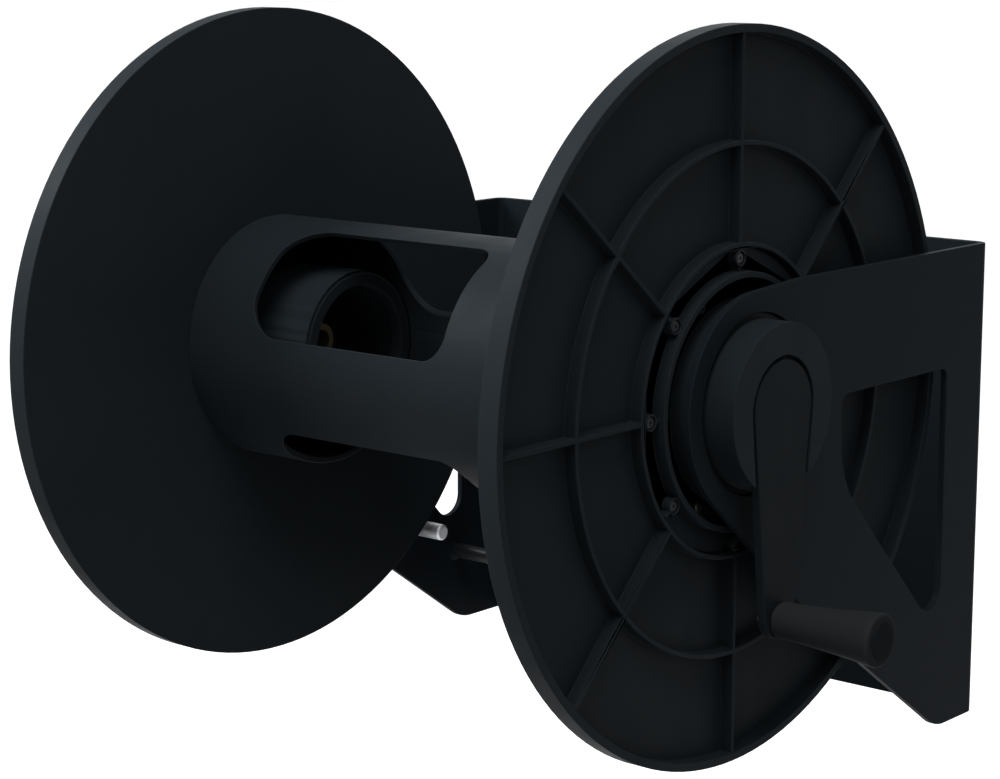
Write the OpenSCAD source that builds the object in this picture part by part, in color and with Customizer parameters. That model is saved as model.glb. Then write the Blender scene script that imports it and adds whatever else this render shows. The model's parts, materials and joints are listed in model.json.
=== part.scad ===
// Wall-mounted hose reel with a hand crank.
// X runs along the drum's axis towards the crank, Y into the wall and Z up.
// The origin lies on the wall face, at the centre of the wall bolt pattern.

/* [Drum] */
// Outside diameter of the flanges
flange_d = 480; // [460:1:500]
// Clear width between the flanges
winding_w = 403; // [380:1:430]
// Outside diameter of the core that the hose winds on
core_d = 178; // [176:1:184]
// Wall of the core
core_wall = 4.5; // [4:0.1:5.5]

/* [Core windows] */
// Distance from the left flange to the windows
window_start = 58; // [54:1:64]
// Length of the windows along the core
window_len = 180.5; // [170:0.5:190]
// Corner radius at the windows' left end
window_r_left = 29; // [24:1:31]
// Corner radius at the windows' right end
window_r_right = 17; // [12:1:22]
// Angle of arc that each upper window takes
window_arc = 62; // [56:1:66]
// Direction of the front upper window, from the wall side over the top
window_front_dir = 138.5; // [136:0.5:141]
// Angle of arc that the lower window takes
window_arc_low = 104; // [98:1:108]

/* [Flanges] */
// Thickness of a flange's disc
web_t = 5; // [4:0.5:6]
// Width of the rim along the axis
rim_w = 15; // [14:0.5:17]
// Radial thickness of the rim
rim_t = 5.5; // [4:0.5:7]
// Distance that ribs and rings stay below the rim's edge
rib_step = 1; // [0.5:0.5:2]
// Thickness of the radial ribs
rib_t = 3; // [2.5:0.5:4]
// Number of radial ribs
rib_count = 8; // [8:2:10]
// Angle by which the upper front rib is set nearer to the level line
rib_turn = 5; // [0:0.5:6]
// Thickness of the two stiffening rings
ring_t = 3; // [2.5:0.5:4]
// Radius at the middle of the outer stiffening ring
ring_outer_r = 165.5; // [155:0.5:175]
// Radius at the middle of the inner stiffening ring
ring_inner_r = 101; // [100:0.5:106]

/* [Hubs] */
// Radius of the hub tube, which is also the bearing journal
hub_r = 55; // [52:0.5:56]
// Wall of the hub tube
hub_wall = 8; // [6:0.5:9]
// Thickness of the hub's round plate
hub_plate_t = 3.5; // [3:0.5:4.5]
// Radius of the shoulder that takes the end thrust
shoulder_r = 66; // [65:0.5:67]
// Outside radius of the collar on the hub plate
collar_r = 84; // [83:0.5:85]
// Wall of the collar
collar_t = 4; // [3:0.5:4.5]
// Height of the collar above the hub plate
collar_h = 9; // [7:0.5:10]
// Radius of the flange's centre hole, which the hub's spigot fills
spigot_r = 62; // [61:0.5:63]
// Length of the left hub tube inside the core
tube_in_left = 85; // [80:1:90]
// Length of the right hub tube inside the core
tube_in_right = 24; // [20:1:30]
// Bore radius at the left tube's mouth
mouth_r = 44; // [43:0.5:45]
// Length of the narrow mouth
mouth_len = 10; // [8:1:12]
// Chamfer around the mouth
mouth_chamfer = 2.5; // [2:0.5:3]
// Thickness of the small gussets between collar and plate edge
gusset_t = 2.5; // [2:0.25:3]
// Distance that the right hub stands out of the arm
proud_right = 20.5; // [19:0.5:24]
// Distance that the left hub stands out of the arm
proud_left = 6; // [5:0.5:8]
// Thickness of the right hub's end wall
end_wall = 5; // [4:0.5:6]

/* [Bracket] */
// Thickness of the bracket's folded plate
plate_t = 5; // [4:0.5:6]
// Inside radius of the bracket's two folds
fold_r = 5; // [4:0.5:8]
// Gap between a flange's rim and the arm beside it
side_gap = 8.5; // [8:0.5:12]
// Gap between the flanges' rims and the wall
wall_gap = 50; // [45:1:60]
// Height of the bracket's top edge above the drum's axis
arm_top = 76; // [75:0.5:80]
// Depth of the bracket's bottom edge below the drum's axis
arm_drop = 272; // [266:1:280]
// Metal left around the hub hole at the arm's nose
nose_wall = 14; // [12:0.5:15]
// Length of the arm's level bottom edge
beak_len = 55; // [50:1:60]
// Radius of the beak's corner
beak_r = 36; // [30:1:40]
// Distance behind the axis where the arm's underside bends
belly_back = 79; // [75:1:85]
// Depth of that bend below the axis
belly_drop = 164; // [160:1:168]
// Radius of that bend
belly_r = 120; // [100:5:150]

/* [Arm windows] */
// Distance from the axis back to the arm window's front edge
port_front = 100; // [96:1:104]
// Depth of the window's top edge below the axis
port_top = 8; // [6:0.5:12]
// Strip of plate between the window and the wall
port_strip = 55; // [50:1:60]
// Length of the window's straight front edge before its slanted edge
port_front_len = 59; // [55:1:62]
// Angle of the slanted edge from the vertical
port_slant = 44.5; // [43:0.5:46]
// Radius of the bend between those two edges
port_bend_r = 72; // [60:1:85]
// Radius of the bottom corner
port_low_r = 16; // [14:0.5:20]
// Radius of the two top corners
port_top_r = 7; // [5:0.5:8]

/* [Wall fixing] */
// Distance between the wall bolts across, which spans two studs
bolt_across = 406.4; // [400:0.1:410]
// Distance between the wall bolts up and down
bolt_updown = 260; // [240:1:280]
// Radius of the wall bolt holes
bolt_hole_r = 4.5; // [4:0.25:5.5]

/* [Tie bar and peg] */
// Radius of the tie bar between the arms
tie_r = 6; // [5.5:0.5:7]
// Size of the weld beads around its ends
weld = 3; // [2:0.5:4]
// Distance from the wall to the tie bar
tie_wall = 63; // [60:1:70]
// Height of the tie bar above the bracket's bottom edge
tie_up = 60; // [55:1:65]
// Radius of the hose peg
peg_r = 6.5; // [6:0.5:7]
// Length of the hose peg inside the arm
peg_len = 24.5; // [22:0.5:28]
// Distance from the wall to the peg
peg_wall = 106; // [102:1:110]
// Gap between the flanges' rims and the peg
peg_gap = 15; // [12:1:18]
// Radius of the peg's threaded end
peg_end_r = 4; // [3.5:0.25:4.5]
// Rounding of the peg's free end
peg_round = 2; // [1.5:0.25:3]
// Width across the flats of the peg's nut
peg_nut_across = 13; // [12.5:0.5:14]
// Height of the peg's nut with its washer face
peg_nut_h = 6.5; // [6:0.5:8]
// Radius of the washer face on the peg's nut
peg_washer_r = 8.5; // [8:0.25:9.5]

/* [Bearings] */
// Wall of the bearing bush between hub and arm
bush_wall = 4; // [3.5:0.25:4.5]
// Thickness of the bush's lip against the arm
bush_lip = 3; // [2.5:0.25:3.5]
// Outside radius of the bush's lip
bush_lip_r = 66; // [65:0.5:67]
// Depth that the bush reaches into the arm's hole
bush_seat = 2; // [1.5:0.25:2.5]

/* [Crank] */
// Distance from the drum's axis to the grip's axis
crank_throw = 138; // [130:1:150]
// Radius of the crank arm's end at the hub
crank_r_hub = 31; // [29:0.5:32]
// Radius of the crank arm's end at the grip
crank_r_grip = 16.5; // [16:0.5:19]
// Distance that this end's centre lies above the grip's axis
crank_end_up = 4; // [2:0.5:4]
// Thickness of the crank arm
crank_t = 6; // [5.5:0.5:9]
// Gap around the crank arm in the hub's recess
recess_gap = 3; // [1:0.25:3.5]
// Wall left around the pockets in the crank arm's back
pocket_wall = 3.5; // [3:0.25:4.5]
// Skin left in front of those pockets
pocket_skin = 3; // [2.5:0.25:4]

/* [Grip] */
// Length of the grip
grip_len = 75.5; // [70:0.5:84]
// Radius of the grip at the crank arm
grip_r_base = 12; // [12:0.25:13.5]
// Radius of the grip at its free end
grip_r_end = 17.5; // [17:0.25:20]
// How late the grip flares towards its free end
grip_flare = 1.5; // [1:0.1:2]
// Rounding of the grip's free end
grip_round = 2.5; // [2:0.25:3]
// Radius of the steel axle inside the grip
axle_r = 6; // [5.5:0.25:6.5]
// Radius of the axle's threaded end in the crank arm
axle_end_r = 5; // [4.5:0.25:5]
// Radius of the axle's head
axle_head_r = 9; // [8.5:0.25:9.5]
// Thickness of the axle's head
axle_head_t = 4; // [3:0.25:5]
// Thickness of the axle's nut
axle_nut_t = 5; // [4:0.5:6]
// Width across the flats of the axle's nut
axle_nut_across = 17; // [16:0.5:18]
// Depth of the grip's end recess for head and cap
grip_recess = 14; // [13:0.5:16]
// Thickness of the grip's end cap
cap_t = 5; // [4:0.25:6]
// Width of the cap's lip on the grip's rim
cap_lip = 2.5; // [2:0.25:3]
// Thickness of that lip
cap_lip_t = 0.8; // [0.6:0.1:1.2]
// Room around the axle's head in the grip
head_room = 1; // [0.6:0.1:1.5]
// Thickness of the washer under the grip
washer_t = 1; // [0.8:0.1:1.5]
// Radius of the washer under the grip
washer_r = 10.5; // [10:0.25:11]

/* [Water way] */
// Distance from the left tube's mouth to the bulkhead
bulkhead_in = 62; // [58:1:66]
// Thickness of the bulkhead
bulkhead_t = 6; // [5:0.5:7]
// Gap between the nut's flats and the stiffening ring around it
guard_gap = 12; // [9:1:13]
// Wall of that ring
guard_t = 4; // [3:0.5:5]
// Height of that ring
guard_h = 5; // [4:0.5:6]
// Thickness of the sealing washer under the nut
seal_washer_t = 1.5; // [1:0.25:2]
// Width of that washer beyond the nut's flats
seal_washer_w = 4; // [3:0.5:5]
// Outside radius of the hose threads
thread_r = 13.49; // [13:0.01:14]
// Outside radius of the spigot's shank, which its nut runs on
shank_r = 15; // [14.5:0.1:15.5]
// Length of the hose threads
thread_len = 16; // [14:0.5:17]
// Radius of the water bore
water_r = 8; // [7:0.25:8.5]
// Radius of the spigot's flange
flare_r = 22; // [20:0.5:24]
// Thickness of the spigot's flange
flare_t = 4; // [3:0.5:5]
// Radius of the spigot's tail, on which the inlet turns
tail_r = 11; // [10.5:0.25:11.25]
// Length of the spigot's tail
tail_len = 44; // [42:1:46]
// Outside radius of the inlet elbow
elbow_r = 16; // [15.5:0.25:17]
// Distance that the elbow's centre stands out of the left hub
elbow_out = 24; // [22:0.5:28]
// Length of the elbow's lower leg, with its thread
elbow_drop = 52; // [48:1:58]
// Gap between the spigot's flange and the elbow
elbow_gap = 8; // [6:0.5:10]
// Distance from the elbow's mouth to the first seal ring
seal_in = 7; // [6:0.5:8]
// Distance between the two seal rings
seal_pitch = 8; // [6:0.5:9]
// Distance from the spigot's end to the clip
clip_in = 10; // [8:0.5:12]
// Width of the spanner hexagon beyond the elbow's radius
spanner_w = 3; // [2:0.5:4]
// Height of the spanner hexagon
spanner_h = 8; // [6:0.5:9]
// Radius of the seal rings' section
seal_r = 1; // [0.8:0.05:1.1]
// Radius of the retaining clip's wire
clip_r = 1.25; // [1:0.05:1.4]
// Width across the flats of the spigot's nut
nut_across = 36; // [34:0.5:38]
// Thickness of the spigot's nut
nut_t = 5.5; // [5:0.5:6.5]

/* [Screws] */
// Radius of the screws' shanks
screw_r = 2; // [1.8:0.1:2.2]
// Radius of the screws' heads
head_r = 4; // [3.6:0.1:4.2]
// Height of the screws' heads
head_h = 2.6; // [2.4:0.1:3]
// Length of the core screws under their heads
core_screw_len = 24; // [20:1:28]
// Wall of the pillars that take the core screws
pillar_wall = 4; // [3:0.5:4]
// Thickness of the web between a pillar and the core's wall
pillar_web = 4; // [3:0.5:5]
// Distance that the pillars stay behind the core's ends
pillar_step = 0.5; // [0.3:0.1:1]
// Solid floor of a pillar behind its screw
pillar_floor = 8; // [5:1:10]
// Width of the cross slots in the heads
slot_w = 0.8; // [0.6:0.1:1]
// Radius of the circle of core screws
core_screw_r = 73.5; // [73:0.25:74.5]
// Number of core screws at each end
core_screw_count = 6; // [4:1:6]
// Distance from the axis to the hub screws above, below, before and behind it
hub_screw_r = 92.5; // [91.5:0.25:92.75]
// Distance from the axis to the four hub screws between those
side_screw_r = 88.5; // [88:0.25:90]
// Angle of these four above and below the level line
side_screw_dir = 40; // [38:0.5:50]
// Radius of the posts around the hub screws
post_r = 5.5; // [5.3:0.1:5.7]
// Height of those posts above the hub plate
post_h = 6; // [5:0.5:7]
// Depth of the head's recess in a post
post_recess = 3.5; // [3:0.25:4]
// Radius of the circle of crank screws
crank_screw_r = 16; // [15:0.5:18]
// Number of crank screws
crank_screw_count = 3; // [2:1:4]
// Skin left in front of the crank screws
crank_screw_skin = 1.5; // [1:0.25:2]

/* [Clearances] */
// Radial gap in a running fit
run_gap = 0.05; // [0.02:0.01:0.09]
// Gap around the spigot's shank in the bulkhead
hole_gap = 0.4; // [0.2:0.1:0.6]
// Gap around a piece fixed in its seat
seat_gap = 0.05; // [0.02:0.01:0.1]
// Gap around the hubs in the flanges and around the bushes in the arms
ring_gap = 0.12; // [0.1:0.01:0.2]
// End play of the drum between its bearings, at each side
end_play = 0.5; // [0.3:0.1:0.8]

/* [Hidden] */

satin_black = [0.11, 0.125, 0.135];
deep_black = [0.08, 0.085, 0.09];
bright_steel = [0.62, 0.64, 0.66];
dark_steel = [0.3, 0.31, 0.32];
brass_tone = [0.66, 0.53, 0.27];

cut = 1;
blend = 0.05;
slack = 0.4;
washer_face_t = 1.5;
peg_tail = 3.5;
axle_tail = 3;
grip_play = 0.1;
smooth = 72;
fine = 32;

flange_r = flange_d / 2;
core_r = core_d / 2;
half_gap = winding_w / 2;
web_face = half_gap + web_t;
rim_face = half_gap + rim_w;
rib_face = rim_face - rib_step;
plate_face = web_face + hub_plate_t;
hub_plate_r = ring_inner_r - ring_t / 2 - 1;
arm_in = rim_face + side_gap;
arm_out = arm_in + plate_t;
bush_face = arm_in - bush_lip;
shoulder_face = bush_face - end_play;
hub_hole_r = hub_r + bush_wall;
nose_r = hub_hole_r + nose_wall;
axis_back = flange_r + wall_gap;
axis_up = (arm_drop - arm_top) / 2;
peg_drop = sqrt(pow(flange_r + peg_gap + peg_r, 2) - pow(axis_back - peg_wall, 2));
hub_face = arm_out + proud_right;
recess_floor = hub_face - crank_t;
crank_len = crank_throw - crank_end_up;
hub_bore_r = hub_r - hub_wall;
flare_fillet = spigot_r - hub_r;
post_face = plate_face + post_h;
post_floor = post_face - post_recess;
hub_screw_end = half_gap + 1;
hub_spots = [
    for (dir = [0, 90, 180, 270]) [hub_screw_r, dir],
    for (dir = [0, 180], side = [-1, 1]) [side_screw_r, dir + side * side_screw_dir]
];
core_screw_tip = core_screw_len - web_t - hub_plate_t;
pillar_len = core_screw_tip + pillar_floor;
mouth_face = half_gap - tube_in_left;
bulkhead_in_face = mouth_face + bulkhead_in;
bulkhead_out_face = bulkhead_in_face + bulkhead_t;
bulkhead_hole_r = shank_r + hole_gap;
nut_back = bulkhead_in_face - seal_washer_t - nut_t;
thread_face = nut_back - thread_len;
flare_face = bulkhead_out_face + flare_t;
tail_face = flare_face + tail_len;
elbow_start = flare_face + elbow_gap;
elbow_x = arm_out + proud_left + elbow_out;
seal_first = elbow_start + seal_in;
seal_half = seal_r + slack;
groove_r = tail_r - clip_r - 0.45;
groove_half = clip_r + slack;
clip_x = tail_face - clip_in;
clip_y = groove_r + clip_r + run_gap;
grip_start = hub_face + washer_t;
grip_end = grip_start + grip_len;
recess_face = grip_end - grip_recess;
head_face = recess_face + 3 * grip_play;
cap_face = grip_end - cap_t;
nose_bend_back = 48;

// Lays a form made along Z onto the drum's axis, pointing towards the crank
module along_x() { rotate([0, 90, 0]) children(); }

// Moves a form from the drum's axis to its place in front of the wall
module at_axis() { translate([0, -axis_back, axis_up]) children(); }

// Turns a form to an angle that counts from the wall side over the top
module spoke(angle) { rotate([0, 0, angle + 90]) children(); }

// Sets a form out along a spoke, at a radius and a height along the axis
module on_spoke(angle, radius, height) {
    spoke(angle) translate([radius, 0, height]) children();
}

// Solid turned from a profile of [radius, height] points
module turned(profile) { rotate_extrude($fn = smooth) polygon(profile); }

// Turns a form drawn in the side view, so that its thickness runs along X
module from_side() { rotate([90, 0, 90]) children(); }

function unit(v) = v / norm(v);

// Points where the tangent from point p touches a circle about the origin
function tangent_point(p, r, side) =
    let (d = norm(p), swing = acos(r / d), base = atan2(p.y, p.x))
    r * [cos(base + side * swing), sin(base + side * swing)];

// Quarter arc between two radii, as points of a turned profile
function cove(r_small, height, r, steps) = [
    for (i = [0:steps]) let (a = 90 * i / steps) [r_small + r * (1 - cos(a)), height - r + r * sin(a)]
];

// Corner helpers: each corner is [x, y, radius] and the outline is convex
function spot(c) = [c[0], c[1]];
function corner_half(p, q, s) = acos(unit(p - q) * unit(s - q)) / 2;
function corner_points(p, q, s, r) =
    r == 0 ? [q] : let (l = r / tan(corner_half(p, q, s))) [q + l * unit(p - q), q + l * unit(s - q)];
function inward(p, q, s) = unit(unit(p - q) + unit(s - q));

function arc_centre(p, q, s, r) = q + r / sin(corner_half(p, q, s)) * inward(p, q, s);
function sunk_points(p, q, s, r) =
    r == 0 ? [q] : [for (e = corner_points(p, q, s, r)) e + blend * unit(arc_centre(p, q, s, r) - e)];

// One true arc at corner q, which stands a hair proud where it meets the straight edges
module corner_arc(p, q, s, r, depth) {
    ends = corner_points(p, q, s, r);
    reach = 2 * sqrt(2 * r * blend);
    intersection() {
        translate(arc_centre(p, q, s, r)) cylinder(h = depth, r = r, center = true, $fn = smooth);
        linear_extrude(depth, center = true)
            polygon([
                ends[0] + reach * unit(p - q),
                q,
                ends[1] + reach * unit(s - q),
                (ends[0] + ends[1]) / 2 + (cut + reach) * inward(p, q, s)
            ]);
    }
}

// Convex plate with true arcs at its corners
module rounded(corners, depth) {
    n = len(corners);
    linear_extrude(depth, center = true) polygon([
        for (i = [0:n - 1])
            each sunk_points(spot(corners[(i + n - 1) % n]), spot(corners[i]),
                             spot(corners[(i + 1) % n]), corners[i][2])
    ]);
    for (i = [0:n - 1])
        if (corners[i][2] > 0)
            corner_arc(spot(corners[(i + n - 1) % n]), spot(corners[i]),
                       spot(corners[(i + 1) % n]), corners[i][2], depth);
}

// Arm outline behind the drum's axis: round nose, level top, slanted underside and beak
module arm_form(depth) {
    shrink = 1 - blend / nose_r;
    nose_top = shrink * tangent_point([nose_bend_back, arm_top], nose_r, 1);
    nose_low = shrink * tangent_point([belly_back, -belly_drop], nose_r, -1);
    rounded([
        [nose_top.x, nose_top.y, 0],
        [0, 0, 0],
        [nose_low.x, nose_low.y, 0],
        [belly_back, -belly_drop, belly_r],
        [axis_back - beak_len, -arm_drop, beak_r],
        [axis_back, -arm_drop, 0],
        [axis_back, arm_top, 0],
        [nose_bend_back, arm_top, 0]
    ], depth);
    cylinder(h = depth, r = nose_r, center = true, $fn = smooth);
}

// Window in each arm, with a slanted edge that bends into its front edge
module port_form(depth) {
    back = axis_back - port_strip;
    bend_z = -port_top - port_front_len;
    rounded([
        [port_front, -port_top, port_top_r],
        [port_front, bend_z, port_bend_r],
        [back, bend_z - (back - port_front) / tan(port_slant), port_low_r],
        [back, -port_top, port_top_r]
    ], depth);
}

// Folded plate: a channel of even height with two round folds at the wall
module channel(height) {
    fold = fold_r + plate_t;
    depth = axis_back + nose_r + cut;
    difference() {
        union() {
            translate([-arm_out, -depth, 0]) cube([2 * arm_out, depth - fold, height]);
            translate([-arm_out + fold, -depth, 0]) cube([2 * (arm_out - fold), depth, height]);
            for (side = [-1, 1])
                translate([side * (arm_out - fold), -fold, 0]) cylinder(h = height, r = fold, $fn = smooth);
        }
        translate([-arm_in, -depth - cut, -cut])
            cube([2 * arm_in, depth + cut - fold, height + 2 * cut]);
        translate([-arm_in + fold_r, -depth - cut, -cut])
            cube([2 * (arm_in - fold_r), depth + cut - plate_t, height + 2 * cut]);
        for (side = [-1, 1])
            translate([side * (arm_out - fold), -fold, -cut])
                cylinder(h = height + 2 * cut, r = fold_r, $fn = smooth);
    }
}

module bracket() {
    color(satin_black) at_axis() difference() {
        intersection() {
            translate([0, axis_back, -arm_drop]) channel(arm_drop + arm_top);
            from_side() arm_form(2 * (arm_out + cut));
        }
        from_side() port_form(2 * (arm_out + cut));
        along_x() cylinder(h = 2 * (arm_out + cut), r = hub_hole_r, center = true, $fn = smooth);
        translate([-arm_out - cut, axis_back - peg_wall, -peg_drop]) along_x()
            cylinder(h = plate_t + 2 * cut, r = peg_end_r + seat_gap, $fn = fine);
        for (x = [-1, 1], z = [-1, 1])
            translate([x * bolt_across / 2, axis_back + cut, z * bolt_updown / 2 - axis_up])
                rotate([90, 0, 0]) cylinder(h = plate_t + 2 * cut, r = bolt_hole_r, $fn = fine);
    }
}

// Flanged bearing bush, set from the inside into the arm's hole
module bush() {
    bore = hub_r + run_gap;
    seat = hub_hole_r - ring_gap;
    along_x() turned([
        [bore, bush_face],
        [bush_lip_r, bush_face],
        [bush_lip_r, arm_in],
        [seat, arm_in],
        [seat, arm_in + bush_seat],
        [bore, arm_in + bush_seat]
    ]);
}

module bush_left() { color(deep_black) at_axis() mirror([1, 0, 0]) bush(); }

module bush_right() { color(deep_black) at_axis() bush(); }

module tie_bar() {
    color(satin_black) at_axis()
        translate([0, axis_back - tie_wall, tie_up - arm_drop]) along_x()
            cylinder(h = 2 * arm_in, r = tie_r, center = true, $fn = fine);
}

module tie_welds() {
    color(satin_black) at_axis()
        for (side = [0, 1])
            mirror([side, 0, 0]) translate([0, axis_back - tie_wall, tie_up - arm_drop]) along_x()
                turned([
                    [tie_r, arm_in - weld],
                    [tie_r + 0.35 * weld, arm_in - 0.55 * weld],
                    [tie_r + 0.75 * weld, arm_in - 0.2 * weld],
                    [tie_r + weld, arm_in],
                    [tie_r, arm_in]
                ]);
}

module peg() {
    color(bright_steel) at_axis()
        translate([-arm_in, axis_back - peg_wall, -peg_drop]) along_x() {
            translate([0, 0, -plate_t - peg_nut_h - peg_tail])
                cylinder(h = plate_t + peg_nut_h + peg_tail + cut, r = peg_end_r, $fn = fine);
            rotate_extrude($fn = fine) {
                square([peg_r, peg_len - peg_round]);
                square([peg_r - peg_round, peg_len]);
                translate([peg_r - peg_round, peg_len - peg_round]) circle(peg_round, $fn = fine);
            }
        }
}

module peg_nut() {
    color(dark_steel) at_axis()
        translate([-arm_out, axis_back - peg_wall, -peg_drop]) along_x()
            translate([0, 0, -peg_nut_h]) difference() {
                union() {
                    cylinder(h = peg_nut_h, r = peg_nut_across / 2 / cos(30), $fn = 6);
                    translate([0, 0, peg_nut_h - washer_face_t])
                        cylinder(h = washer_face_t, r = peg_washer_r, $fn = fine);
                }
                translate([0, 0, -cut])
                    cylinder(h = peg_nut_h + 2 * cut, r = peg_end_r + seat_gap, $fn = fine);
            }
}

// Cutter for one core window, pulled straight out along its direction
module window_cutter(direction, arc) {
    half_w = core_r * sin(arc / 2);
    start = window_start - half_gap;
    rl = min(window_r_left, half_w - 1);
    rr = window_r_right;
    reach = core_r + cut;
    spoke(direction) translate([0, 0, start]) {
        translate([0, blend - half_w, rl]) cube([reach, 2 * (half_w - blend), window_len - rl - rr]);
        translate([0, -half_w + rl, blend]) cube([reach, 2 * (half_w - rl), rl + cut]);
        translate([0, -half_w + rr, window_len - rr - cut])
            cube([reach, 2 * (half_w - rr), rr + cut - blend]);
        for (side = [-1, 1]) {
            translate([0, side * (half_w - rl), rl]) along_x() cylinder(h = reach, r = rl, $fn = smooth);
            translate([0, side * (half_w - rr), window_len - rr]) along_x()
                cylinder(h = reach, r = rr, $fn = smooth);
        }
    }
}

module core() {
    inner = core_r - core_wall;
    pillar_r = screw_r + pillar_wall;
    web_len = inner - core_screw_r + core_wall / 2;
    color(satin_black) at_axis() along_x() difference() {
        union() {
            difference() {
                cylinder(h = winding_w, r = core_r, center = true, $fn = smooth);
                cylinder(h = winding_w + cut, r = inner, center = true, $fn = smooth);
            }
            for (end = [-1, 1], i = [0:core_screw_count - 1])
                on_spoke(360 * i / core_screw_count, core_screw_r,
                         end * (half_gap - pillar_step - pillar_len / 2)) {
                    cylinder(h = pillar_len, r = pillar_r, center = true, $fn = fine);
                    translate([web_len / 2, 0, 0]) cube([web_len, pillar_web, pillar_len], center = true);
                }
        }
        window_cutter(window_front_dir, window_arc);
        window_cutter(180 - window_front_dir, window_arc);
        window_cutter(270, window_arc_low);
        for (end = [-1, 1], i = [0:core_screw_count - 1])
            on_spoke(360 * i / core_screw_count, core_screw_r, end * half_gap)
                cylinder(h = 2 * (core_screw_tip + 1), r = screw_r + seat_gap, center = true, $fn = fine);
    }
}

// Ring wall on a flange's outer side
module ring_wall(radius, thick, top) {
    translate([0, 0, web_face - cut]) difference() {
        cylinder(h = top - web_face + cut, r = radius + thick / 2, $fn = smooth);
        translate([0, 0, -cut]) cylinder(h = top + cut, r = radius - thick / 2, $fn = smooth);
    }
}

function rib_dir(i) = 90 + 360 * i / rib_count + (i == 1 ? rib_turn : 0);

// Flange: a thin disc whose outer side carries a rim, two rings and radial ribs
module flange() {
    along_x() difference() {
        union() {
            translate([0, 0, half_gap]) cylinder(h = web_t, r = flange_r, $fn = smooth);
            ring_wall(flange_r - rim_t / 2, rim_t, rim_face);
            ring_wall(ring_outer_r, ring_t, rib_face);
            ring_wall(ring_inner_r, ring_t, rib_face);
            for (i = [0:rib_count - 1])
                on_spoke(rib_dir(i), ring_inner_r, web_face - cut)
                    translate([0, -rib_t / 2, 0])
                        cube([flange_r - rim_t - ring_inner_r + cut, rib_t, rib_face - web_face + cut]);
        }
        translate([0, 0, half_gap - cut])
            cylinder(h = web_t + 2 * cut, r = spigot_r + ring_gap, $fn = smooth);
        for (post = hub_spots)
            on_spoke(post[1], post[0], hub_screw_end - 0.5)
                cylinder(h = web_t + cut, r = screw_r + seat_gap, $fn = fine);
        for (i = [0:core_screw_count - 1])
            on_spoke(360 * i / core_screw_count, core_screw_r, half_gap - cut)
                cylinder(h = web_t + 2 * cut, r = screw_r + seat_gap, $fn = fine);
    }
}

module flange_left() { color(satin_black) at_axis() mirror([1, 0, 0]) flange(); }

module flange_right() { color(satin_black) at_axis() flange(); }

// Outside of a hub: tube, flared root, spigot, plate and shoulder
function hub_outside(tube_in, end) = concat(
    [[hub_r, half_gap - tube_in]],
    cove(hub_r, half_gap, flare_fillet, 6),
    [
        [spigot_r, web_face],
        [hub_plate_r, web_face],
        [hub_plate_r, plate_face],
        [shoulder_r, plate_face],
        [shoulder_r, shoulder_face],
        [hub_r, shoulder_face],
        [hub_r, end]
    ]
);

// What both hubs carry on their plate: collar, screw posts and gussets
module hub_plate_ribs() {
    gusset_h = post_face - plate_face - 1;
    translate([0, 0, plate_face - cut]) difference() {
        cylinder(h = collar_h + cut, r = collar_r, $fn = smooth);
        translate([0, 0, -cut]) cylinder(h = collar_h + 3 * cut, r = collar_r - collar_t, $fn = smooth);
    }
    for (post = hub_spots) {
        on_spoke(post[1], post[0], plate_face - cut)
            cylinder(h = post_h + cut, r = post_r, $fn = fine);
        on_spoke(post[1], collar_r - 1, plate_face - cut)
            translate([0, -gusset_t / 2, 0]) cube([hub_plate_r - collar_r + 0.5, gusset_t, gusset_h + cut]);
    }
}

// Holes through a hub plate for both circles of screws
module hub_plate_holes() {
    for (post = hub_spots)
        on_spoke(post[1], post[0], web_face - cut) {
            cylinder(h = post_face - web_face + 2 * cut, r = screw_r + seat_gap, $fn = fine);
            translate([0, 0, post_floor - web_face + cut])
                cylinder(h = post_recess + cut, r = head_r + seat_gap, $fn = fine);
        }
    for (i = [0:core_screw_count - 1])
        on_spoke(360 * i / core_screw_count, core_screw_r, web_face - cut)
            cylinder(h = hub_plate_t + 2 * cut, r = screw_r + seat_gap, $fn = fine);
}

// Left hub: open tube with a bulkhead that carries the water spigot
module hub_left() {
    end = arm_out + proud_left;
    guard_in = nut_across / 2 + guard_gap;
    guard_out = guard_in + guard_t;
    color(satin_black) at_axis() mirror([1, 0, 0]) along_x() difference() {
        union() {
            turned(concat(
                hub_outside(tube_in_left, end),
                [
                    [hub_bore_r, end],
                    [hub_bore_r, bulkhead_out_face],
                    [bulkhead_hole_r, bulkhead_out_face],
                    [bulkhead_hole_r, bulkhead_in_face],
                    [guard_in, bulkhead_in_face],
                    [guard_in, bulkhead_in_face - guard_h],
                    [guard_out, bulkhead_in_face - guard_h],
                    [guard_out, bulkhead_in_face],
                    [hub_bore_r, bulkhead_in_face],
                    [hub_bore_r, mouth_face + mouth_len + hub_bore_r - mouth_r],
                    [mouth_r, mouth_face + mouth_len],
                    [mouth_r, mouth_face + 1],
                    [mouth_r + 1, mouth_face],
                    [hub_r - mouth_chamfer, mouth_face],
                    [hub_r, mouth_face + mouth_chamfer]
                ]
            ));
            hub_plate_ribs();
        }
        hub_plate_holes();
    }
}

// Crank arm's tapered form with two round ends, grown by a margin
module crank_form(margin, height) {
    r1 = crank_r_hub + margin;
    r2 = crank_r_grip + margin;
    lean = asin((r1 - r2) / crank_len);
    side = [sin(lean), cos(lean)];
    linear_extrude(height) polygon([
        [0, 0],
        r1 * side,
        [crank_len, 0] + r2 * side,
        [crank_len, 0],
        [crank_len, 0] + r2 * [side.x, -side.y],
        r1 * [side.x, -side.y]
    ]);
    cylinder(h = height, r = r1, $fn = smooth);
    translate([crank_len, 0, 0]) cylinder(h = height, r = r2, $fn = smooth);
}

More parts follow.
